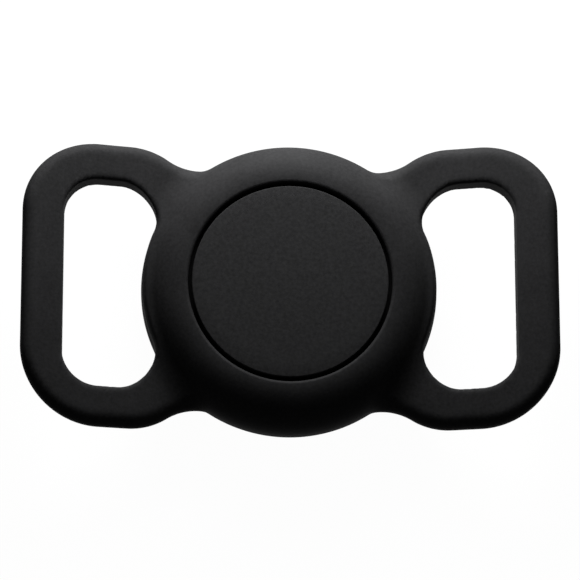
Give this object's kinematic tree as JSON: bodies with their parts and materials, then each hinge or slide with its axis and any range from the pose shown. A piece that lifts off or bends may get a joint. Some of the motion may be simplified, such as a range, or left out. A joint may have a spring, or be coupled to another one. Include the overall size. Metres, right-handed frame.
{
  "type": "tracker tag holder",
  "caption": "Soft one-piece collar holder with a round pocket between two strap loops, and a coin-shaped tracker tag whose battery door shows in the mouth.",
  "frame": {"origin": "centre of the bounding box at the flat underside, below the centre of the pocket", "axes": "+X along the collar strap, +Y across the strap, +Z out of the pocket's mouth"},
  "size_m": [0.068, 0.038, 0.0126],
  "materials": {
    "soft_silicone": "matte, satin on the curves",
    "case_plastic": "matte",
    "door_plastic": "matte with a fine grain",
    "seal_rubber": "matte",
    "pad_foam": "matte, open grain",
    "cell_steel": "satin nickel-plated",
    "cell_gasket_plastic": "translucent white",
    "cell_lithium_metal": "dull silver",
    "cell_fleece": "plain",
    "cell_pellet": "dull pressed powder",
    "tray_plastic": "matte",
    "contact_brass": "plated spring sheet",
    "board_laminate": "green lacquer",
    "shield_tin": "tinned sheet",
    "chip_black": "matte",
    "capacitor_ceramic": "ceramic with tinned ends",
    "crystal_can": "bright",
    "coil_copper": "enamelled copper wire",
    "magnet_nickel": "nickel plate",
    "yoke_steel": "zinc plate",
    "antenna_plastic": "matte",
    "trace_copper": "plated copper"
  },
  "bodies": {
    "holder": {"holder_body": "soft_silicone"},
    "tag": {"case_shell": "case_plastic", "bayonet_ring": "case_plastic", "cell_can": "cell_steel", "cell_cap": "cell_steel", "cell_gasket": "cell_gasket_plastic", "cell_lithium": "cell_lithium_metal", "cell_separator": "cell_fleece", "cell_cathode": "cell_pellet", "battery_tray": "tray_plastic", "negative_contact": "contact_brass", "positive_contacts": "contact_brass", "circuit_board": "board_laminate", "shield_can": "shield_tin", "radio_chip": "chip_black", "board_chips": "chip_black", "board_capacitors": "capacitor_ceramic", "crystal": "crystal_can", "voice_coil": "coil_copper", "speaker_magnet": "magnet_nickel", "magnet_yoke": "yoke_steel", "antenna_ring": "antenna_plastic", "antenna_traces": "trace_copper"},
    "door": {"battery_door": "door_plastic", "door_seal": "seal_rubber", "door_pad": "pad_foam"}
  },
  "joints": [
    {"name": "tag_pull_out", "type": "slide", "parent": "holder", "child": "tag", "axis": [0, 0, 1], "range_m": [0, 0.009], "deforming": ["holder_body"]},
    {"name": "door_twist", "type": "hinge", "parent": "tag", "child": "door", "pos_m": [0, 0, 0.0102], "axis": [0, 0, 1], "range_deg": [0, 30]}
  ]
}
